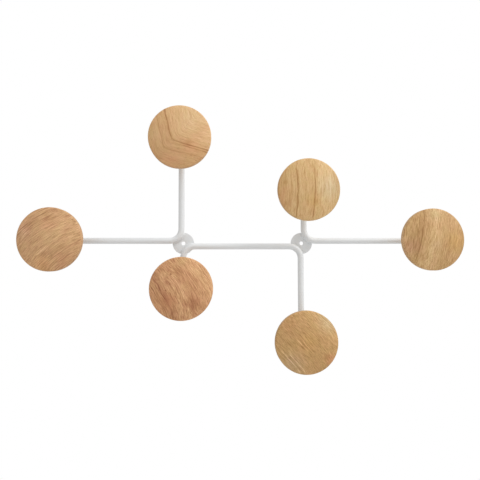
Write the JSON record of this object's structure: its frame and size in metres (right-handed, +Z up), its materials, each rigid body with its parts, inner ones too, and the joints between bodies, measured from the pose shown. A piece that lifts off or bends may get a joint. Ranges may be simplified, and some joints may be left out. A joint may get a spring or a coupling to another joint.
{
  "type": "wall coat rack",
  "caption": "Wall coat rack of bent white steel rods on round screw plates, each rod end carrying a round, gently domed wooden disc that stands out from the wall.",
  "frame": {"origin": "on the wall plane, midway between the two screw holes", "axes": "+X to the right and +Z up as one looks at the wall; +Y into the wall, so the discs stand out towards -Y"},
  "size_m": [0.708, 0.0745, 0.426],
  "materials": {
    "powder_coat": "satin white powder coat with a fine orange peel",
    "wood": "sanded hardwood with short dark pores, thin matt lacquer",
    "zinc_steel": "zinc plated"
  },
  "bodies": {
    "root": {"rod_left": "powder_coat", "rod_right": "powder_coat", "rod_centre": "powder_coat", "wall_plate_left": "powder_coat", "wall_plate_right": "powder_coat", "weld_left_upper": "powder_coat", "weld_left_lower": "powder_coat", "weld_right_upper": "powder_coat", "weld_right_lower": "powder_coat", "disc_far_left": "wood", "hanger_bolt_far_left": "zinc_steel", "disc_top_left": "wood", "hanger_bolt_top_left": "zinc_steel", "disc_low_left": "wood", "hanger_bolt_low_left": "zinc_steel", "disc_top_right": "wood", "hanger_bolt_top_right": "zinc_steel", "disc_far_right": "wood", "hanger_bolt_far_right": "zinc_steel", "disc_low_right": "wood", "hanger_bolt_low_right": "zinc_steel"}
  },
  "joints": []
}
